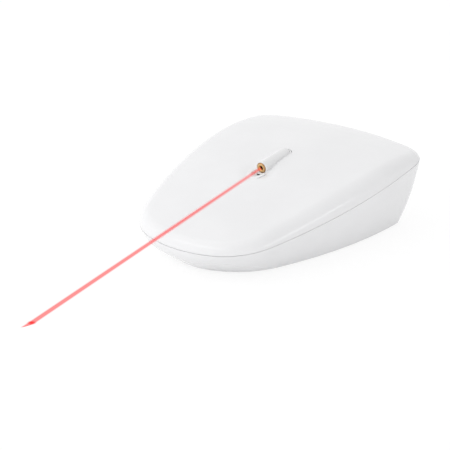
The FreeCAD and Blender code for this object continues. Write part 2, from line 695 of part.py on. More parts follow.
def gear_blank(teeth, addendum, phase, width):
    # A spur gear on the origin with a tooth at the phase angle, its face on z = 0.
    pitch_r = GEAR_MODULE * teeth / 2
    base_r = pitch_r * math.cos(math.radians(20))
    tip_r = pitch_r + addendum
    root_r = pitch_r - 1.2 * GEAR_MODULE
    pitch_half = math.pi / (2 * teeth) - TOOTH_SLACK / (2 * pitch_r)
    at_base = pitch_half + involute_angle(pitch_r, base_r)
    start_r = max(base_r, root_r)
    middle_r = (start_r + tip_r) / 2
    halves = [at_base - involute_angle(radius, base_r) for radius in (start_r, middle_r, tip_r)]
    edges = []
    step = 2 * math.pi / teeth
    for index in range(teeth):
        centre = math.radians(phase) + index * step
        left = [polar(radius, centre - half) for radius, half in zip((start_r, middle_r, tip_r), halves)]
        right = [polar(radius, centre + half) for radius, half in zip((start_r, middle_r, tip_r), halves)]
        root_left = polar(root_r, centre - halves[0])
        root_right = polar(root_r, centre + halves[0])
        next_root = polar(root_r, centre + step - halves[0])
        if start_r > root_r:
            edges.append(Part.makeLine(root_left, left[0]))
        edges.append(Part.Arc(*left).toShape())
        edges.append(Part.makeLine(left[2], right[2]))
        edges.append(Part.Arc(right[2], right[1], right[0]).toShape())
        if start_r > root_r:
            edges.append(Part.makeLine(right[0], root_right))
        edges.append(Part.makeLine(root_right, next_root))
    return Part.Face(Part.Wire(edges)).extrude(Vector(0, 0, width))


def gear_sector(teeth, addendum, phase, width, half_span, hub_r):
    # The part of a gear within half_span degrees of the phase angle, on a round hub.
    gear = gear_blank(teeth, addendum, phase, width)
    reach = GEAR_MODULE * teeth
    start = math.radians(phase - half_span)
    end = math.radians(phase + half_span)
    corners = [Vector(0, 0, 0), polar(reach, start), polar(reach, end), Vector(0, 0, 0)]
    wedge = Part.Face(Part.makePolygon(corners))
    sector = gear.common(wedge.extrude(Vector(0, 0, width)))
    return joined(sector, [Part.makeCylinder(hub_r, width)])


TILT_SECTOR_R = GEAR_MODULE * TILT_SECTOR_TEETH / 2
PAN_SECTOR_R = GEAR_MODULE * PAN_SECTOR_TEETH / 2
PINION_R = GEAR_MODULE * PINION_TEETH / 2
WHEEL_R = GEAR_MODULE * WHEEL_TEETH / 2
WHEEL_ADDENDUM = 0.8 * GEAR_MODULE
PINION_ADDENDUM = 1.0 * GEAR_MODULE
CHASSIS_TOP_Z = CHASSIS_Z + CHASSIS_THICKNESS
YOKE_Z = CHASSIS_TOP_Z + 0.3
YOKE_THICKNESS = 2.5
IDLER_X = PAN_X - PAN_SECTOR_R - PINION_R
PAN_MOTOR_X = IDLER_X - WHEEL_R - PINION_R
WHEEL_Z = YOKE_Z + YOKE_THICKNESS + 0.5
BRACKET_Z = WHEEL_Z + GEAR_WIDTH + 0.8
BRACKET_THICKNESS = 1.5
BRACKET_Y = 13.0
BRACKET_X0 = PAN_MOTOR_X - 9.0
BRACKET_X1 = IDLER_X + 5.0
BRACKET_FEET = [(x, y) for x in (BRACKET_X0 + 3, BRACKET_X1 - 3) for y in (-BRACKET_Y, BRACKET_Y)]
BRACKET_LEG_D = 3.8
WASHER_THICKNESS = 0.5
EAR_Y0 = CRADLE_WIDTH / 2 + EAR_GAP
EAR_Y1 = EAR_Y0 + EAR_THICKNESS
TILT_GEAR_Y = -EAR_Y1 - 0.4 - GEAR_WIDTH
MESH = math.radians(TILT_MESH_ANGLE)
TILT_MOTOR_X = TILT_AXIS.x + (TILT_SECTOR_R + PINION_R) * math.cos(MESH)
TILT_MOTOR_Z = TILT_AXIS.z + (TILT_SECTOR_R + PINION_R) * math.sin(MESH)
TILT_MOTOR_Y0 = -EAR_Y1 + 0.8
TILT_MOTOR_Y1 = TILT_MOTOR_Y0 + MOTOR_LENGTH


def on_tilt_axis(shape, x, z):
    # Lays a gear drawn on z = 0 into the vertical plane of the tilt gears.
    moved = shape.copy()
    moved.rotate(Vector(0, 0, 0), Vector(1, 0, 0), 90)
    moved.translate(Vector(x, TILT_GEAR_Y + GEAR_WIDTH, z))
    return moved


def make_tilt_sector():
    sector = gear_sector(TILT_SECTOR_TEETH, WHEEL_ADDENDUM, TILT_MESH_ANGLE, GEAR_WIDTH, 17.0, 3.4)
    sector = sector.cut(Part.makeCylinder(TRUNNION_D / 2, GEAR_WIDTH))
    return on_tilt_axis(sector, TILT_AXIS.x, TILT_AXIS.z)


def pinion(phase, width):
    gear = gear_blank(PINION_TEETH, PINION_ADDENDUM, phase, width)
    return gear.cut(Part.makeCylinder(SHAFT_D / 2, width))


def make_tilt_pinion():
    gap_phase = TILT_MESH_ANGLE + 180 + 180 / PINION_TEETH
    return on_tilt_axis(pinion(gap_phase, GEAR_WIDTH), TILT_MOTOR_X, TILT_MOTOR_Z)


def motor_can(width, height, length):
    # A flat-sided can along x, its output face on x = 0.
    can = rod(width, Vector(-length, 0, 0), Vector(0, 0, 0))
    can = can.common(box(-length, 0, -width, width, -height / 2, height / 2))
    boss = local_rod(4.0, -0.1, 0.7)
    cap = local_rod(5.0, -length - 0.6, -length)
    tabs = [box(-length - 1.8, -length + 0.5, y - 0.6, y + 0.6, -0.2, 0.2) for y in (-3.2, 3.2)]
    body = joined(can, [boss, cap] + tabs)
    return body.cut(local_rod(SHAFT_D + 2 * RUNNING_GAP, -8.0, 1.0))


def make_tilt_motor():
    motor = motor_can(MOTOR_WIDTH, MOTOR_HEIGHT, MOTOR_LENGTH)
    motor.rotate(Vector(0, 0, 0), Vector(0, 0, 1), -90)
    motor.translate(Vector(TILT_MOTOR_X, TILT_MOTOR_Y0, TILT_MOTOR_Z))
    return motor


def make_tilt_shaft():
    return rod(SHAFT_D, Vector(TILT_MOTOR_X, TILT_GEAR_Y - 0.3, TILT_MOTOR_Z),
               Vector(TILT_MOTOR_X, TILT_MOTOR_Y0 + 7.5, TILT_MOTOR_Z))


def make_pan_yoke():
    disc = gear_sector(PAN_SECTOR_TEETH, WHEEL_ADDENDUM, 180.0, YOKE_THICKNESS, 13.0, YOKE_HUB_R)
    disc.translate(Vector(PAN_X, 0, YOKE_Z))
    top = YOKE_Z + YOKE_THICKNESS
    ears = []
    for side in (-1, 1):
        y0, y1 = sorted((side * EAR_Y0, side * EAR_Y1))
        ear = box(TILT_AXIS.x - 2.6, TILT_AXIS.x + 2.6, y0, y1, YOKE_Z, TILT_AXIS.z)
        eye = rod(5.2, Vector(TILT_AXIS.x, y0, TILT_AXIS.z), Vector(TILT_AXIS.x, y1, TILT_AXIS.z))
        rib = box(TILT_AXIS.x - 2.6, TILT_AXIS.x + 9.0, y0, y1, YOKE_Z, top + 2.5)
        ears += [joined(ear, [eye]), rib]
    tray_top = TILT_MOTOR_Z - MOTOR_HEIGHT / 2
    y0, y1 = TILT_MOTOR_Y0, TILT_MOTOR_Y1
    front_x = TILT_MOTOR_X + MOTOR_WIDTH / 2 + 0.1
    rear_x = TILT_MOTOR_X - MOTOR_WIDTH / 2
    wall = 1.3
    tray = box(rear_x - wall, front_x + wall, y0, y1, YOKE_Z, tray_top)
    front_wall = box(front_x, front_x + wall, y0, y1, YOKE_Z, tray_top + 3.5)
    rear_wall = box(rear_x - wall, rear_x, y0, y1, YOKE_Z, tray_top + 3.5)
    seat = box(rear_x, front_x, y0 - 0.3, y1 + 0.3, tray_top, top + 1)
    yoke = joined(disc, ears + [tray]).cut(seat)
    yoke = joined(yoke, [front_wall, rear_wall])
    bore = upright(PIVOT_POST_D + 2 * RUNNING_GAP, PAN_X, 0, YOKE_Z - 1, top + 1)
    reach = Vector(0, 20, 0)
    trunnion_way = rod(TRUNNION_D + 2 * RUNNING_GAP, TILT_AXIS - reach, TILT_AXIS + reach)
    return yoke.cut(Part.makeCompound([bore, trunnion_way]))


def make_motor_clip():
    # A spring strap over the tilt motor, hooked to the two tray walls.
    x0 = TILT_MOTOR_X - MOTOR_WIDTH / 2 - 1.8
    x1 = TILT_MOTOR_X + MOTOR_WIDTH / 2 + 1.8
    top = TILT_MOTOR_Z + MOTOR_HEIGHT / 2
    y0 = TILT_MOTOR_Y0 + 5
    low = top - MOTOR_HEIGHT + 3.5
    strap = box(x0, x1, y0, y0 + 3, top, top + 0.4)
    legs = [box(x0, x0 + 0.4, y0, y0 + 3, low, top), box(x1 - 0.4, x1, y0, y0 + 3, low, top)]
    toes = [box(x0, x0 + 1.6, y0, y0 + 3, low, low + 0.4), box(x1 - 1.6, x1, y0, y0 + 3, low, low + 0.4)]
    return joined(strap, legs + toes)


def make_chassis():
    plate = rounded_plate(CHASSIS_X0, CHASSIS_X1, -24.0, 24.0, CHASSIS_Z, CHASSIS_TOP_Z, 3.0)
    post = upright(PIVOT_POST_D, PAN_X, 0, CHASSIS_Z, YOKE_Z + YOKE_THICKNESS + 0.1)
    collar = upright(PIVOT_POST_D + 4.0, PAN_X, 0, CHASSIS_Z, YOKE_Z - 0.05)
    chassis = joined(plate, [post, collar])
    cuts = [upright(PIVOT_SCREW[1], PAN_X, 0, CHASSIS_Z - 1, YOKE_Z + YOKE_THICKNESS + 1)]
    cuts.append(upright(AXLE_D, IDLER_X, 0, CHASSIS_Z - 1, CHASSIS_TOP_Z + 1))
    for x, y in CHASSIS_FEET:
        cuts.append(upright(CHASSIS_SCREW[1] + 0.4, x, y, CHASSIS_Z - 1, CHASSIS_TOP_Z + 1))
    for x, y in BRACKET_FEET:
        cuts.append(upright(BRACKET_SCREW[1], x, y, CHASSIS_Z - 1, CHASSIS_TOP_Z + 1))
    return chassis.cut(Part.makeCompound(cuts))


def make_chassis_screws():
    return Part.makeCompound([screw(*CHASSIS_SCREW, x, y, CHASSIS_TOP_Z, True) for x, y in CHASSIS_FEET])


def make_pivot_washer():
    z = YOKE_Z + YOKE_THICKNESS + 0.1
    washer = upright(PIVOT_POST_D + 2.4, PAN_X, 0, z, z + WASHER_THICKNESS)
    return washer.cut(upright(PIVOT_SCREW[1] + 0.2, PAN_X, 0, z - 1, z + 1))


def make_pivot_screw():
    return screw(*PIVOT_SCREW, PAN_X, 0, YOKE_Z + YOKE_THICKNESS + 0.1 + WASHER_THICKNESS, True)


def make_idler_gear():
    small = gear_blank(PINION_TEETH, PINION_ADDENDUM, 180.0 / PINION_TEETH, WHEEL_Z - YOKE_Z)
    wheel = gear_blank(WHEEL_TEETH, WHEEL_ADDENDUM, 180.0, GEAR_WIDTH)
    wheel.translate(Vector(0, 0, WHEEL_Z - YOKE_Z))
    gear = joined(small, [wheel]).cut(Part.makeCylinder(AXLE_D / 2 + RUNNING_GAP, 20))
    gear.translate(Vector(IDLER_X, 0, YOKE_Z))
    return gear


def make_idler_axle():
    return upright(AXLE_D, IDLER_X, 0, CHASSIS_Z, BRACKET_Z + BRACKET_THICKNESS)


def make_motor_bracket():
    plate = rounded_plate(BRACKET_X0, BRACKET_X1, -BRACKET_Y - 2, BRACKET_Y + 2, BRACKET_Z,
                          BRACKET_Z + BRACKET_THICKNESS, 2.5)
    legs = [upright(BRACKET_LEG_D, x, y, CHASSIS_TOP_Z, BRACKET_Z + 0.5) for x, y in BRACKET_FEET]
    wall_x = PAN_MOTOR_X + MOTOR_WIDTH / 2
    top = BRACKET_Z + BRACKET_THICKNESS
    walls = [box(wall_x + 0.05, wall_x + 1.3, -6, 6, top - 0.5, top + 6),
             box(2 * PAN_MOTOR_X - wall_x - 1.3, 2 * PAN_MOTOR_X - wall_x - 0.05, -6, 6, top - 0.5, top + 6)]
    bracket = joined(plate, legs + walls)
    cuts = [upright(4.2, PAN_MOTOR_X, 0, BRACKET_Z - 1, top + 0.1)]
    cuts.append(upright(AXLE_D, IDLER_X, 0, BRACKET_Z - 1, top + 1))
    cuts += [upright(BRACKET_SCREW[1] + 0.2, x, y, CHASSIS_Z, top + 1) for x, y in BRACKET_FEET]
    return bracket.cut(Part.makeCompound(cuts))


def make_bracket_screws():
    top = BRACKET_Z + BRACKET_THICKNESS
    length = top - CHASSIS_Z
    return Part.makeCompound([screw(*BRACKET_SCREW, length, x, y, top, True) for x, y in BRACKET_FEET])


def make_pan_motor():
    motor = motor_can(MOTOR_WIDTH, MOTOR_HEIGHT, MOTOR_LENGTH)
    motor.rotate(Vector(0, 0, 0), Vector(1, 0, 0), 90)
    motor.rotate(Vector(0, 0, 0), Vector(0, 1, 0), 90)
    motor.rotate(Vector(0, 0, 0), Vector(0, 0, 1), 90)
    motor.translate(Vector(PAN_MOTOR_X, 0, BRACKET_Z + BRACKET_THICKNESS))
    return motor


def make_pan_shaft():
    return upright(SHAFT_D, PAN_MOTOR_X, 0, WHEEL_Z - 0.3, BRACKET_Z + BRACKET_THICKNESS + 7.5)


def make_pan_pinion():
    gear = pinion(180.0 / PINION_TEETH, GEAR_WIDTH)
    gear.translate(Vector(PAN_MOTOR_X, 0, WHEEL_Z))
    return gear


# Power
def cell_places():
    first = BAY_CENTRE_X - (CELL_COUNT - 1) * CELL_PITCH / 2
    return [(first + index * CELL_PITCH, 1 if index % 2 == 0 else -1) for index in range(CELL_COUNT)]


def make_cells():
    cells = []
    for x, side in cell_places():
        tip = CELL_LENGTH / 2
        can = rod(CELL_D, Vector(x, -side * tip, CELL_Z), Vector(x, side * (tip - 1.2), CELL_Z))
        can = can.makeFillet(0.5, can.Edges)
        nub = rod(5.5, Vector(x, side * (tip - 1.5), CELL_Z), Vector(x, side * tip, CELL_Z))
        cells.append(joined(can, [nub]))
    return Part.makeCompound(cells)


def make_contact_plates():
    plates = []
    for x, side in cell_places():
        for end in (-1, 1):
            y0, y1 = sorted((end * BAY_Y, end * (BAY_Y - 0.4)))
            plates.append(box(x - 5.0, x + 5.0, y0, y1, CELL_Z - 5.0, CELL_Z + 5.0))
    return Part.makeCompound(plates)


def make_contact_studs():
    studs = []
    for x, side in cell_places():
        start = Vector(x, side * CELL_LENGTH / 2, CELL_Z)
        end = Vector(x, side * (BAY_Y - 0.4), CELL_Z)
        studs.append(rod(5.0, start, end))
    return Part.makeCompound(studs)


def arc_between(start, tangent, end):
    chord = end.sub(start)
    along = Vector(chord).normalize()
    across = tangent.sub(along * tangent.dot(along))
    if across.Length < 1e-6:
        return Part.makeLine(start, end)
    bend = math.atan2(across.Length, tangent.dot(along))
    across.normalize()
    middle = start + chord * 0.5 + across * (chord.Length / 2 * math.tan(bend / 2))
    return Part.Arc(start, middle, end).toShape()


def biarc(start, start_tangent, end, end_tangent):
    chord = end.sub(start)
    both = start_tangent.add(end_tangent)
    spread = 2 * (1 - start_tangent.dot(end_tangent))
    reach = (-chord.dot(both) + math.sqrt(chord.dot(both) ** 2 + spread * chord.dot(chord))) / spread
    middle = (start + start_tangent * reach + end - end_tangent * reach) * 0.5
    second = arc_between(end, end_tangent * -1, middle)
    second_points = [middle, second.valueAt((second.FirstParameter + second.LastParameter) / 2), end]
    return [arc_between(start, start_tangent, middle), Part.Arc(*second_points).toShape()]


SPRING_WIRE_D = 0.6
SPRING_TURNS = 3
SPRING_R0 = 4.4
SPRING_R1 = 2.3


def spring_point(turn, length):
    share = turn / SPRING_TURNS
    radius = SPRING_R0 + (SPRING_R1 - SPRING_R0) * share
    angle = 2 * math.pi * turn
    return Vector(radius * math.cos(angle), radius * math.sin(angle), share * length)


def spring_shape(length):
    # A cone spring on the z axis, its wide end on z = 0.
    points = [spring_point(step / 4, length) for step in range(4 * SPRING_TURNS + 1)]
    tangents = []
    small = 0.01
    for step in range(4 * SPRING_TURNS + 1):
        ahead = spring_point(step / 4 + small, length)
        behind = spring_point(step / 4 - small, length)
        tangents.append(ahead.sub(behind).normalize())
    edges = []
    for step in range(4 * SPRING_TURNS):
        edges += biarc(points[step], tangents[step], points[step + 1], tangents[step + 1])
    path = Part.Wire(edges)
    profile = Part.Wire([Part.Circle(points[0], tangents[0], SPRING_WIRE_D / 2).toShape()])
    samples = [spring_point(index / 24, length) for index in range(24 * SPRING_TURNS + 1)]
    gap = min(samples[low].distanceToPoint(samples[high]) for low in range(len(samples))
              for high in range(low + 12, len(samples)))
    print("least gap between spring turns", round(gap - SPRING_WIRE_D, 2))
    return path.makePipeShell([profile], True, False)


def make_contact_springs():
    room = BAY_Y - 0.4 - CELL_LENGTH / 2
    length = room - SPRING_WIRE_D
    springs = []
    for x, side in cell_places():
        spring = spring_shape(length)
        spring.rotate(Vector(0, 0, 0), Vector(1, 0, 0), 90 * -side)
        spring.translate(Vector(x, -side * (BAY_Y - 0.4 - SPRING_WIRE_D / 2), CELL_Z))
        springs.append(spring)
    return Part.makeCompound(springs)


# Control board in the nose
def make_main_board():
    board = rounded_plate(BOARD_X0, BOARD_X1, -BOARD_Y, BOARD_Y, BOARD_Z, BOARD_Z + BOARD_THICKNESS, 2.0)
    return board.cut(Part.makeCompound([upright(2.0, x, y, BOARD_Z - 1, BOARD_Z + 3) for x, y in BOARD_FEET]))


def make_board_screws():
    top = BOARD_Z + BOARD_THICKNESS
    return Part.makeCompound([screw(*BOARD_SCREW, x, y, top, True) for x, y in BOARD_FEET])


BOARD_TOP_Z = BOARD_Z + BOARD_THICKNESS


CHIP_HEIGHT = 1.5
CHIP_X = 30.0
LEG_WIDTH = 0.4
LEG_REACH = 1.1
CONTROLLER_SIZE = (8.0, 4.0)
DRIVER_SIZE = (5.0, 3.8)
DRIVER_Y = 10.5
CAPACITOR_D = 6.3
CAPACITOR_HEIGHT = 8.0
CAPACITOR_PLACE = (40.0, 9.0)
SOCKET_SIZE = (5.0, 6.8, 5.0)
SOCKET_WALL = 0.9
SOCKET_X = 14.5
SOCKET_PITCH = 9.0


def chip(size, y, leg_count):
    # A chip body on the main board with a row of legs along each long side.
    length, width = size
    top = BOARD_TOP_Z + CHIP_HEIGHT
    body = box(CHIP_X - length / 2, CHIP_X + length / 2, y - width / 2, y + width / 2, BOARD_TOP_Z + 0.1, top)
    pitch = (length - 2 * LEG_WIDTH) / (leg_count - 1)
    reach = width / 2 + LEG_REACH
    legs = []
    for index in range(leg_count):
        x = CHIP_X + pitch * (index - (leg_count - 1) / 2)
        half = LEG_WIDTH / 2
        legs.append(box(x - half, x + half, y - reach, y + reach, BOARD_TOP_Z, BOARD_TOP_Z + LEG_WIDTH))
    return joined(body, legs)


def make_controller_chip():
    return chip(CONTROLLER_SIZE, 0.0, 7)


def make_driver_chips():
    return Part.makeCompound([chip(DRIVER_SIZE, y, 4) for y in (-DRIVER_Y, DRIVER_Y)])


def make_capacitor():
    can = upright(CAPACITOR_D, *CAPACITOR_PLACE, BOARD_TOP_Z, BOARD_TOP_Z + CAPACITOR_HEIGHT)
    edges = [edge for edge in can.Edges if edge.BoundBox.ZMin > BOARD_TOP_Z + CAPACITOR_HEIGHT - 1]
    return can.makeFillet(0.6, edges)


def make_board_sockets():
    length, width, height = (size / 2 for size in SOCKET_SIZE)
    sockets = []
    for y in (-SOCKET_PITCH, 0.0, SOCKET_PITCH):
        low, top = BOARD_TOP_Z, BOARD_TOP_Z + 2 * height
        block = box(SOCKET_X - length, SOCKET_X + length, y - width, y + width, low, top)
        length_in, width_in = length - SOCKET_WALL, width - SOCKET_WALL
        well = box(SOCKET_X - length_in, SOCKET_X + length_in, y - width_in, y + width_in, low + 1.5, top + 1)
        sockets.append(block.cut(well))
    return Part.makeCompound(sockets)


# Power button at the back
BUTTON_PROUD = 1.2
SWITCH_DEPTH = 9.0


def make_power_button():
    cap = local_rod(BUTTON_D, -3.4, BUTTON_PROUD)
    face = [edge for edge in cap.Edges if abs(edge.CenterOfMass.x - BUTTON_PROUD) < 0.01]
    cap = cap.makeFillet(0.8, face)
    flange = local_rod(BUTTON_D + 2.4, -4.4, -3.4)
    stem = local_rod(3.0, -SWITCH_DEPTH + 3.5, -4.4)
    return in_wall_frame(joined(cap, [flange, stem]))


def make_tact_switch():
    case = box(-SWITCH_DEPTH, -SWITCH_DEPTH + 2.0, -3.0, 3.0, -3.0, 3.0)
    return in_wall_frame(case.cut(local_rod(3.7, -SWITCH_DEPTH + 1.0, 0)))


def make_switch_plunger():
    return in_wall_frame(local_rod(3.5, -SWITCH_DEPTH + 1.0 + BUTTON_TRAVEL, -SWITCH_DEPTH + 3.5))


def make_switch_board():
    board = box(-SWITCH_DEPTH - BOARD_THICKNESS, -SWITCH_DEPTH, -9.0, 9.0, -5.0, 5.0)
    return in_wall_frame(board)


PARTS = {
    "top_shell": make_top_shell,
    "bottom_shell": make_bottom_shell,
    "battery_door": make_battery_door,
    "door_screw": make_door_screw,
    "rubber_feet": make_feet,
    "shell_screws": make_shell_screws,
    "laser_barrel": make_laser_barrel,
    "laser_module": make_laser_module,
    "laser_lens": make_laser_lens,
    "laser_diode": make_laser_diode,
    "laser_board": make_laser_board,
    "barrel_shutter": make_barrel_shutter,
    "tilt_cradle": make_tilt_cradle,
    "tilt_sector": make_tilt_sector,
    "tilt_pinion": make_tilt_pinion,
    "tilt_motor_shaft": make_tilt_shaft,
    "tilt_motor": make_tilt_motor,
    "motor_clip": make_motor_clip,
    "pan_yoke": make_pan_yoke,
    "pivot_washer": make_pivot_washer,
    "pivot_screw": make_pivot_screw,
    "idler_gear": make_idler_gear,
    "idler_axle": make_idler_axle,
    "pan_motor": make_pan_motor,
    "pan_motor_shaft": make_pan_shaft,
    "pan_pinion": make_pan_pinion,
    "motor_bracket": make_motor_bracket,
    "bracket_screws": make_bracket_screws,
    "chassis": make_chassis,
    "chassis_screws": make_chassis_screws,
    "batteries": make_cells,
    "contact_plates": make_contact_plates,
    "contact_studs": make_contact_studs,
    "contact_springs": make_contact_springs,
    "main_board": make_main_board,
    "board_screws": make_board_screws,
    "controller_chip": make_controller_chip,
    "driver_chips": make_driver_chips,
    "capacitor": make_capacitor,
    "board_sockets": make_board_sockets,
    "power_button": make_power_button,
    "tact_switch": make_tact_switch,
    "switch_plunger": make_switch_plunger,
    "switch_board": make_switch_board,
}

os.makedirs("parts", exist_ok=True)
for name, make in PARTS.items():
    shape = make()
    print(name, "valid" if shape.isValid() else "INVALID", len(shape.Solids), round(shape.Volume, 2))
    shape.exportStep("parts/" + name + ".step")
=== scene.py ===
import json
import math

import bmesh
import bpy
from mathutils import Matrix, Vector


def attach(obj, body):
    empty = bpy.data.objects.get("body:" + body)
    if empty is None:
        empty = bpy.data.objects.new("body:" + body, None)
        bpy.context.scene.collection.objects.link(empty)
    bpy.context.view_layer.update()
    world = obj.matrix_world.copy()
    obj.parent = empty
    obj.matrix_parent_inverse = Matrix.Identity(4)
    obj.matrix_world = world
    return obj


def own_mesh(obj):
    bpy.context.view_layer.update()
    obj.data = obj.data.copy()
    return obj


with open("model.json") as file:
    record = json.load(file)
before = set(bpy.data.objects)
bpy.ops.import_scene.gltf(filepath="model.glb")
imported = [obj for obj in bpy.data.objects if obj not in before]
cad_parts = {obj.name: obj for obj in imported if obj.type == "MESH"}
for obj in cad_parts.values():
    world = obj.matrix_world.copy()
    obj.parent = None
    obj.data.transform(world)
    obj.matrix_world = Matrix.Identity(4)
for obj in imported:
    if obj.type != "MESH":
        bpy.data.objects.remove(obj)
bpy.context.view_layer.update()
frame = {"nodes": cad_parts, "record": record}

MM = 0.001

# Camera: where the photograph was taken from, in metres, and its frame in pixels
CAMERA_PLACE = Vector((0.6676, 0.5242, 0.3377))
CAMERA_TARGET = Vector((0.04175, 0.00453, 0.01846))
SENSOR_MM = 36.0
FRAME_PIXELS = 450
FOCAL_PIXELS = 1618.35
FRAME_SHIFT = (-1.4 / FRAME_PIXELS, 0.4 / FRAME_PIXELS)

# Frame of the laser barrel: origin at the centre of its round tail, x out of the nose
BARREL_RADIUS = 3.65 * MM
BARREL_LENGTH = 20.2 * MM
BARREL_PITCH = math.radians(7.5)
BARREL_WAY = Vector((math.cos(BARREL_PITCH), 0.0, -math.sin(BARREL_PITCH)))
BARREL_TAIL = Vector((6.0, 0.0, 40.7)) * MM - BARREL_WAY * BARREL_LENGTH
BARREL_FRAME = Matrix.Translation(BARREL_TAIL) @ Matrix.Rotation(BARREL_PITCH, 4, "Y")
MODULE_PROUD = 0.55 * MM

# Slot in the top shell, in the barrel's frame, as (place along the barrel, half width)
SLOT_TAIL = (-0.44 * MM, 4.36 * MM)
SLOT_WAIST = (8.3 * MM, 4.0 * MM)
SLOT_FRONT = (21.6 * MM, 4.58 * MM)

# Steps along half the slot's edge: round its tail, along its two straights and across its front
TAIL_STEPS = 16
SIDE_STEPS = (12, 20)
FRONT_STEPS = 14

# How the slot's edge is looked for: rays from PROBE_HEIGHT, and a miss is lower than EDGE_FLOOR
PROBE_HEIGHT = 20.0 * MM
EDGE_STEP = 0.1 * MM
EDGE_FLOOR = -6.0 * MM

# Soft seal that fills the slot round the barrel
SEAL_SIDE_GAP = 0.13 * MM
SEAL_TAIL_GAP = 0.35 * MM
SEAL_FRONT_GAP = 0.12 * MM
SEAL_SINK = 0.06 * MM
SEAL_FIT = 0.03 * MM
SEAL_LIP = 0.45 * MM
SEAL_DEPTH = 0.6 * MM
SEAL_SWELL = 0.55 * MM
SEAL_CREASE = 0.7
SEAL_FRONT_X = 19.7 * MM
SEAL_UNDERCUT = 0.1 * MM
SEAL_HIGHEST = 0.9
SEAL_LOWEST = -0.96
SECTION_STEPS = (0.35, 0.65, 0.85, 1.0)
LIP_CURVE = 4
SWELL_END = 0.8

# Laser beam: its landing point on the floor, and its width
BEAM_LANDING = Vector((0.1687, -0.0154, 0.0))
BEAM_RADIUS = 1.85 * MM
BEAM_START = 1.3 * MM
BEAM_PAST_FLOOR = 20.0 * MM
# Its opacity at the middle, how fast that falls to its edge, and how squarely the camera meets it
BEAM_STRENGTH = 0.73
BEAM_FALL = 8.0
BEAM_SLANT = 0.83
# Its spot on the floor: full to DOT_CORE from the axis, gone at DOT_RADIUS
DOT_CORE = 0.4 * MM
DOT_RADIUS = 2.9 * MM

# The values between which most of a noise lies
NOISE_SPAN = (0.3, 0.7)

# Colours, as sRGB shares
SHELL_WHITE = (0.945, 0.945, 0.95)
BARREL_WHITE = (0.945, 0.945, 0.948)
DOOR_WHITE = (0.93, 0.93, 0.935)
SEAL_WHITE = (0.95, 0.95, 0.952)
FLOOR_WHITE = (0.97, 0.97, 0.97)
PURE_WHITE = (1.0, 1.0, 1.0)
BEAM_RED = (1.0, 0.22, 0.22)
DOT_RED = (1.0, 0.30, 0.30)

# Studio: the sky's strength, and how that changes along x, y and z
SKY_STRENGTH = 1.08
SKY_SLOPE = (0.14, -0.45, -0.34)
# The floor as it is seen: white of this strength, over this share of the lit paper
FLOOR_GLOW = 1.06
FLOOR_SEEN = 0.8
# Where the lamps point
STUDIO_MIDDLE = Vector((0.0, 0.0, 0.03))
# Lamps as (name, place, size, watts)
LAMPS = (
    ("overhead", (0.25, -0.2, 1.3), (1.4, 1.0), 1.3),
    ("low_front", (0.9, 0.9, 0.22), (1.2, 0.35), 0.6),
    ("rim_strip", (-0.15, 1.1, 0.16), (0.8, 0.14), 1.1),
    ("nose_strip", (0.75, -0.32, 0.74), (0.8, 0.10), 0.6),
)


def linear(colour):
    # The scene's own colour values for an sRGB colour.
    return tuple(c / 12.92 if c <= 0.04045 else ((c + 0.055) / 1.055) ** 2.4 for c in colour) + (1.0,)


def darker(colour, amount):
    return tuple(c * (1.0 - amount) for c in colour)


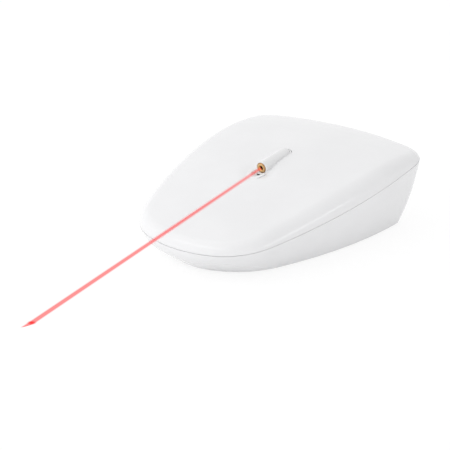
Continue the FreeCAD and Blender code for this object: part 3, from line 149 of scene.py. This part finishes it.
class Shader:
    """Nodes of a material or a sky under construction."""

    def __init__(self, owner, output_kind="ShaderNodeOutputMaterial"):
        owner.use_nodes = True
        self.owner = owner
        self.tree = owner.node_tree
        self.tree.nodes.clear()
        self.output = self.tree.nodes.new(output_kind)

    def feed(self, socket, value):
        if isinstance(value, bpy.types.NodeSocket):
            self.tree.links.new(value, socket)
        else:
            socket.default_value = value

    def node(self, kind, inputs=(), **settings):
        made = self.tree.nodes.new(kind)
        for key, value in settings.items():
            setattr(made, key, value)
        for socket, value in dict(inputs).items():
            self.feed(made.inputs[socket], value)
        return made

    def show(self, shader_output):
        self.feed(self.output.inputs["Surface"], shader_output)
        return self.owner

    def surface(self, colour, roughness, height=None, bump=0.0, depth=0.0, **extra):
        # The material's one physical surface; height is what its bumps follow.
        values = {"Base Color": colour, "Roughness": roughness}
        values.update({key.replace("_", " "): value for key, value in extra.items()})
        if height:
            relief = {"Height": height, "Strength": bump, "Distance": depth}
            values["Normal"] = self.node("ShaderNodeBump", relief).outputs["Normal"]
        return self.show(self.node("ShaderNodeBsdfPrincipled", values).outputs["BSDF"])

    def place(self, scale=None):
        place = self.node("ShaderNodeTexCoord").outputs["Object"]
        if scale is None:
            return place
        return self.node("ShaderNodeMapping", {"Vector": place, "Scale": scale}).outputs["Vector"]

    def noise(self, scale, detail=2.0, place=None):
        values = {"Vector": place or self.place(), "Scale": scale, "Detail": detail}
        return self.node("ShaderNodeTexNoise", values).outputs["Fac"]

    def ranged(self, source, start, end, low, high, interpolation="LINEAR"):
        # The source's values from start to end, turned into values from low to high.
        values = {"Value": source, "From Min": start, "From Max": end, "To Min": low, "To Max": high}
        return self.node("ShaderNodeMapRange", values, interpolation_type=interpolation).outputs["Result"]

    def spread(self, noise, low, high):
        # A noise's usual values, turned into values from low to high.
        return self.ranged(noise, *NOISE_SPAN, low, high)

    def math(self, operation, first, second):
        return self.node("ShaderNodeMath", {0: first, 1: second}, operation=operation).outputs["Value"]

    def radius(self, source, factors):
        # Distance from the origin after each part of the place is scaled by its factor.
        scaled = self.node("ShaderNodeVectorMath", {0: source, 1: factors}, operation="MULTIPLY")
        length = self.node("ShaderNodeVectorMath", {0: scaled.outputs["Vector"]}, operation="LENGTH")
        return length.outputs["Value"]

    def blend(self, factor, first, second):
        # A colour between two, each an sRGB colour or another node's output.
        first, second = (linear(c) if isinstance(c, tuple) else c for c in (first, second))
        return self.node("ShaderNodeMix", {0: factor, 6: first, 7: second}, data_type="RGBA").outputs[2]

    def ramp(self, factor, stops):
        made = self.node("ShaderNodeValToRGB", {"Fac": factor})
        elements = made.color_ramp.elements
        for middle_stop in stops[1:-1]:
            elements.new(middle_stop[0])
        for element, (place, colour) in zip(elements, stops):
            element.position = place
            element.color = linear(colour)
        return made.outputs["Color"]

    def layers(self, factor, under, over):
        return self.node("ShaderNodeMixShader", {0: factor, 1: under, 2: over}).outputs["Shader"]

    def glow(self, colour, strength=1.0):
        values = {"Color": linear(colour), "Strength": strength}
        return self.node("ShaderNodeEmission", values).outputs["Emission"]

    def seen(self):
        # 1 for a ray that shows the backdrop, straight or by a reflection; 0 for one that gathers light.
        rays = self.node("ShaderNodeLightPath").outputs
        mirrored = self.math("ADD", rays["Is Camera Ray"], rays["Is Glossy Ray"])
        return self.math("ADD", mirrored, rays["Is Transmission Ray"])


def new_material(name):
    return Shader(bpy.data.materials.new(name))


# Materials
def moulded(name, colour, roughness, tone=0.012, grain=0.02, grain_scale=2600.0):
    # Injection-moulded plastic: a slow drift in tone, a fine skin, and polish that varies with it.
    shader = new_material(name)
    drift = shader.ranged(shader.noise(28.0, 3.0), 0.35, 0.65, 0.0, 1.0)
    polish = shader.spread(shader.noise(90.0, 4.0), roughness - 0.03, roughness + 0.04)
    base = shader.blend(drift, darker(colour, tone), colour)
    return shader.surface(base, polish, shader.noise(grain_scale), grain, 0.05 * MM)


def metal(name, colour, roughness):
    # Drawn or plated metal with fine streaks.
    shader = new_material(name)
    streaks = shader.noise(900.0, 3.0, shader.place((1.0, 1.0, 14.0)))
    base = shader.blend(shader.spread(streaks, 0.0, 1.0), darker(colour, 0.16), colour)
    polish = shader.spread(streaks, roughness - 0.06, roughness + 0.08)
    return shader.surface(base, polish, streaks, 0.08, 0.03 * MM, Metallic=1.0)


def turned_brass(name):
    # The laser module's case: tool rings round its axis, painted shade on its outer rim where the proud
    # side is in shade, and painted shade in the dark aperture at its middle.
    shader = new_material(name)
    values = {"Vector": shader.place(), "Location": BARREL_TAIL, "Rotation": (0.0, BARREL_PITCH, 0.0)}
    along = shader.node("ShaderNodeMapping", values, vector_type="TEXTURE").outputs["Vector"]
    radius = shader.radius(along, (0.0, 1.0, 1.0))
    share = shader.ranged(radius, 0.0, 3.2 * MM, 0.0, 1.0)
    # Tones out from the axis: painted shade in the aperture, brass across the face, then painted shade
    # darkening the rim and side.
    stops = [(0.0, (0.12, 0.05, 0.04)), (0.24, (0.22, 0.10, 0.07)), (0.34, (0.72, 0.52, 0.34)),
             (0.42, (0.95, 0.79, 0.55)), (0.72, (0.96, 0.82, 0.60)), (0.84, (0.74, 0.56, 0.38)),
             (0.96, (0.50, 0.36, 0.24))]
    rings = {"W": radius, "Scale": 9000.0}
    tooled = shader.node("ShaderNodeTexNoise", rings, noise_dimensions="1D").outputs["Fac"]
    wear = shader.spread(tooled, 0.0, 0.18)
    base = shader.blend(wear, shader.ramp(share, stops), (0.60, 0.42, 0.26))
    polish = shader.spread(tooled, 0.24, 0.4)
    return shader.surface(base, polish, tooled, 0.12, 0.03 * MM, Metallic=1.0)


def rubber(name, colour):
    shader = new_material(name)
    grain = shader.noise(3400.0, 3.0)
    polish = shader.spread(grain, 0.66, 0.84)
    return shader.surface(shader.blend(grain, darker(colour, 0.12), colour), polish, grain, 0.3, 0.08 * MM)


def solder_mask(name):
    # A board: green lacquer over a lattice of copper runs.
    shader = new_material(name)
    runs = shader.node("ShaderNodeTexVoronoi", {"Vector": shader.place(), "Scale": 420.0},
                       feature="DISTANCE_TO_EDGE").outputs["Distance"]
    edge = shader.ranged(runs, 0.05, 0.12, 0.0, 1.0)
    polish = shader.spread(shader.noise(300.0), 0.28, 0.42)
    base = shader.blend(edge, (0.16, 0.42, 0.22), (0.05, 0.27, 0.13))
    return shader.surface(base, polish, edge, 0.2, 0.03 * MM)


def clear_lens(name):
    shader = new_material(name)
    film = shader.noise(1800.0)
    base = shader.blend(film, (0.30, 0.10, 0.09), (0.42, 0.16, 0.14))
    return shader.surface(base, shader.spread(film, 0.03, 0.07), Transmission_Weight=0.85, IOR=1.49)


def cell_jacket(name):
    # The dry cells: a dark body, and a copper-coloured band over one end.
    shader = new_material(name)
    split = shader.node("ShaderNodeSeparateXYZ", {"Vector": shader.place()}).outputs["Y"]
    band = shader.ranged(split, 12.0 * MM, 12.3 * MM, 0.0, 1.0)
    scuff = shader.noise(260.0, 4.0)
    body = shader.blend(scuff, (0.10, 0.13, 0.17), (0.16, 0.20, 0.25))
    polish = shader.spread(scuff, 0.24, 0.4)
    return shader.surface(shader.blend(band, body, (0.66, 0.46, 0.30)), polish, Metallic=0.4)


def make_materials():
    return {
        "shell_white": moulded("gloss_shell", SHELL_WHITE, 0.13),
        "barrel_white": moulded("gloss_barrel", BARREL_WHITE, 0.24),
        "door_white": moulded("satin_door", DOOR_WHITE, 0.4, grain=0.12, grain_scale=1800.0),
        "foot_rubber": rubber("foot_rubber", (0.66, 0.66, 0.67)),
        "screw_steel": metal("screw_steel", (0.62, 0.62, 0.64), 0.34),
        "washer_steel": metal("ground_steel", (0.70, 0.70, 0.72), 0.24),
        "spring_steel": metal("spring_steel", (0.74, 0.74, 0.75), 0.2),
        "contact_nickel": metal("nickel_contact", (0.76, 0.75, 0.72), 0.22),
        "nose_brass": turned_brass("turned_brass"),
        "lens_clear": clear_lens("lens"),
        "diode_metal": metal("gold_plate", (0.82, 0.68, 0.36), 0.22),
        "board_green": solder_mask("board"),
        "chip_black": moulded("chip", (0.07, 0.07, 0.075), 0.5, tone=0.2, grain=0.2),
        "plunger_grey": moulded("plunger", (0.22, 0.22, 0.23), 0.45, tone=0.1, grain=0.1),
        "capacitor_sleeve": moulded("sleeve", (0.09, 0.10, 0.16), 0.3, tone=0.1),
        "socket_white": moulded("socket", (0.90, 0.89, 0.84), 0.45, grain=0.1),
        "motor_steel": metal("motor_can", (0.68, 0.68, 0.70), 0.3),
        "gear_nylon": moulded("nylon", (0.91, 0.89, 0.82), 0.42, tone=0.03, grain=0.1),
        "frame_grey": moulded("frame", (0.76, 0.77, 0.79), 0.45, tone=0.03, grain=0.12),
        "cell_wrap": cell_jacket("cell_jacket"),
    }


def dress_nodes(materials):
    slots = {row["node"]: row["material_slot"] for row in frame["record"]["subparts"]}
    for name, node in frame["nodes"].items():
        node.data.materials.clear()
        node.data.materials.append(materials[slots[name]])


def mesh_object(name, mesh, material, smooth=True):
    data = bpy.data.meshes.new(name)
    mesh.to_mesh(data)
    mesh.free()
    data.polygons.foreach_set("use_smooth", [smooth] * len(data.polygons))
    data.materials.append(material)
    made = bpy.data.objects.new(name, data)
    bpy.context.scene.collection.objects.link(made)
    return made


# The slot's seal: a soft lip on the barrel that closes the slot up to its edge
def shell_height(place):
    # Height of the top shell over a place in the barrel's plan, in the barrel's frame.
    down = BARREL_FRAME.to_3x3() @ Vector((0.0, 0.0, -1.0))
    start = BARREL_FRAME @ Vector((place.x, place.y, PROBE_HEIGHT))
    hit = frame["nodes"]["top_shell"].ray_cast(start, down)[1]
    return (BARREL_FRAME.inverted() @ hit).z


def shell_edge(outer, way):
    # The first place out of the slot that the top shell covers, with the shell's height there.
    step = way * EDGE_STEP
    place = outer + step
    while shell_height(place) < EDGE_FLOOR:
        place += step
    return place - step, shell_height(place)


def between(first, last, count):
    return [first + (last - first) * index / count for index in range(count)]


def slot_path():
    # Half the slot's edge from its tail to its front: (outer point, way out of the slot, clearance).
    rows = []
    for angle in between(math.pi, math.pi / 2, TAIL_STEPS):
        way = Vector((math.cos(angle), math.sin(angle)))
        clearance = SEAL_SIDE_GAP + (SEAL_TAIL_GAP - SEAL_SIDE_GAP) * abs(way.x)
        rows.append((Vector((SLOT_TAIL[0], 0.0)) + way * SLOT_TAIL[1], way, clearance))
    corners = [Vector(SLOT_TAIL), Vector(SLOT_WAIST), Vector(SLOT_FRONT)]
    for start, end, count in zip(corners, corners[1:], SIDE_STEPS):
        rows += [(point, Vector((0.0, 1.0)), SEAL_SIDE_GAP) for point in between(start, end, count)]
    front = Vector((SLOT_FRONT[0], 0.0))
    for point in between(corners[2], front, FRONT_STEPS) + [front]:
        rows.append((point, Vector((1.0, 0.0)), SEAL_FRONT_GAP))
    return rows


def barrel_contact(edge, height, share):
    # Where the seal meets the barrel, and the way out of the barrel there.
    radius = BARREL_RADIUS + SEAL_FIT
    level = max(min(height, radius * SEAL_HIGHEST), radius * SEAL_LOWEST)
    turn = math.asin(level / radius)
    if edge.x <= 0.0:
        plan = edge.normalized()
        out = Vector((plan.x * math.cos(turn), plan.y * math.cos(turn), math.sin(turn)))
        return out * radius, out
    turn -= (math.pi / 2 + turn) * share
    out = Vector((0.0, math.cos(turn), math.sin(turn)))
    return Vector((min(edge.x, SEAL_FRONT_X), 0.0, 0.0)) + out * radius, out


def seal_section(row, share):
    # Points across the seal from the slot's edge to the barrel, then back underneath.
    outer, way, clearance = row
    rim, height = shell_edge(outer, way)
    height -= SEAL_SINK
    edge = rim - way * clearance
    outside = Vector((edge.x, edge.y, height))
    inside, out = barrel_contact(edge, height, share)
    lip = SEAL_LIP * (1.0 - share)
    deep = Vector((0.0, 0.0, SEAL_DEPTH))
    points = [outside]
    for step in SECTION_STEPS:
        swell = SEAL_SWELL * share * max(0.0, step * (SWELL_END - step)) / (SWELL_END / 2) ** 2
        points.append(outside.lerp(inside, step) + Vector((0.0, 0.0, lip * step ** LIP_CURVE + swell)))
    points.append(inside - deep + out * SEAL_UNDERCUT)
    points.append(outside - deep)
    return points


def seal_sections():
    path = slot_path()
    first_front = len(path) - 1 - FRONT_STEPS
    half = []
    for index, row in enumerate(path):
        half.append(seal_section(row, max(0.0, (index - first_front) / FRONT_STEPS)))
    other = [[Vector((point.x, -point.y, point.z)) for point in section] for section in half[-2:0:-1]]
    return half + other


def make_seal(material):
    mesh = bmesh.new()
    rings = [[mesh.verts.new(BARREL_FRAME @ point) for point in section] for section in seal_sections()]
    count = len(rings[0])
    for ring, following in zip(rings, rings[1:] + rings[:1]):
        for index in range(count):
            after = (index + 1) % count
            mesh.faces.new((ring[index], ring[after], following[after], following[index]))
    bmesh.ops.recalc_face_normals(mesh, faces=mesh.faces)
    for edge in mesh.edges:
        edge.smooth = edge.calc_face_angle() < SEAL_CREASE
    seal = mesh_object("slot_seal", mesh, material)
    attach(seal, "laser_head")
    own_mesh(seal)


# The laser's light: a beam that moves with the head, and the spot where it meets the floor
def beam_material():
    shader = new_material("beam")
    facing = shader.node("ShaderNodeLayerWeight", {"Blend": 0.5}).outputs["Facing"]
    middle = shader.ranged(facing, 1.0 - BEAM_SLANT, 1.0, 1.0, 0.0)
    behind = shader.node("ShaderNodeNewGeometry").outputs["Backfacing"]
    front = shader.ranged(behind, 0.0, 1.0, BEAM_STRENGTH, 0.0)
    fade = shader.math("MULTIPLY", shader.math("POWER", middle, BEAM_FALL), front)
    clear = shader.node("ShaderNodeBsdfTransparent").outputs["BSDF"]
    return shader.show(shader.layers(fade, clear, shader.glow(BEAM_RED)))


def make_beam():
    mouth = BARREL_FRAME @ Vector((BARREL_LENGTH + MODULE_PROUD, 0.0, 0.0))
    way = (BEAM_LANDING - mouth).normalized()
    start = mouth + way * BEAM_START
    length = (BEAM_LANDING - start).length + BEAM_PAST_FLOOR
    mesh = bmesh.new()
    bmesh.ops.create_cone(mesh, segments=48, radius1=BEAM_RADIUS, radius2=BEAM_RADIUS, depth=length)
    beam = mesh_object("beam_light", mesh, beam_material())
    turned = way.to_track_quat("Z", "Y").to_matrix().to_4x4()
    beam.matrix_world = Matrix.Translation(start + way * length / 2) @ turned
    for ray in ("visible_shadow", "visible_diffuse", "visible_glossy"):
        setattr(beam, ray, False)
    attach(beam, "laser_head")
    return beam, -way.z


def floor_material(beam, steepness):
    # White paper with the object's soft shadow, and the red spot round the beam's axis.
    shader = new_material("floor")
    paper = shader.node("ShaderNodeBsdfDiffuse", {"Color": linear(FLOOR_WHITE)}).outputs["BSDF"]
    seen = shader.math("MULTIPLY", shader.seen(), FLOOR_SEEN)
    lit = shader.layers(seen, paper, shader.glow(PURE_WHITE, FLOOR_GLOW))
    axis = shader.node("ShaderNodeTexCoord", object=beam).outputs["Object"]
    radius = shader.radius(axis, (1.0, 1.0 / steepness, 0.0))
    spot = shader.ranged(radius, DOT_CORE, DOT_RADIUS, 1.0, 0.0, "SMOOTHSTEP")
    return shader.show(shader.layers(spot, lit, shader.glow(DOT_RED)))


def make_floor(beam, steepness):
    mesh = bmesh.new()
    bmesh.ops.create_grid(mesh, x_segments=1, y_segments=1, size=3.0)
    mesh_object("floor", mesh, floor_material(beam, steepness), smooth=False)


# Studio
def make_lamp(name, place, size, watts):
    data = bpy.data.lights.new(name, "AREA")
    data.shape = "RECTANGLE"
    data.size, data.size_y = size
    data.energy = watts
    lamp = bpy.data.objects.new(name, data)
    lamp.location = place
    lamp.rotation_euler = (STUDIO_MIDDLE - Vector(place)).to_track_quat("-Z", "Y").to_euler()
    bpy.context.scene.collection.objects.link(lamp)


def make_sky():
    sky = bpy.data.worlds.new("studio")
    bpy.context.scene.world = sky
    shader = Shader(sky, "ShaderNodeOutputWorld")
    way = shader.node("ShaderNodeTexCoord").outputs["Generated"]
    slope = shader.node("ShaderNodeVectorMath", {0: way, 1: SKY_SLOPE}, operation="DOT_PRODUCT")
    strength = shader.math("ADD", slope.outputs["Value"], SKY_STRENGTH)
    light = shader.node("ShaderNodeBackground", {"Color": linear(PURE_WHITE), "Strength": strength})
    backdrop = shader.node("ShaderNodeBackground", {"Color": linear(PURE_WHITE)})
    shader.show(shader.layers(shader.seen(), light.outputs["Background"], backdrop.outputs["Background"]))


def make_camera():
    data = bpy.data.cameras.new("camera")
    data.sensor_width = SENSOR_MM
    data.lens = FOCAL_PIXELS / FRAME_PIXELS * SENSOR_MM
    data.shift_x, data.shift_y = FRAME_SHIFT
    data.clip_start = 0.01
    camera = bpy.data.objects.new("camera", data)
    camera.location = CAMERA_PLACE
    camera.rotation_euler = (CAMERA_TARGET - CAMERA_PLACE).to_track_quat("-Z", "Y").to_euler()
    bpy.context.scene.collection.objects.link(camera)
    bpy.context.scene.camera = camera


make_camera()
dress_nodes(make_materials())
make_seal(moulded("soft_seal", SEAL_WHITE, 0.45))
make_floor(*make_beam())
make_sky()
for lamp_row in LAMPS:
    make_lamp(*lamp_row)
bpy.context.scene.view_settings.view_transform = "Standard"
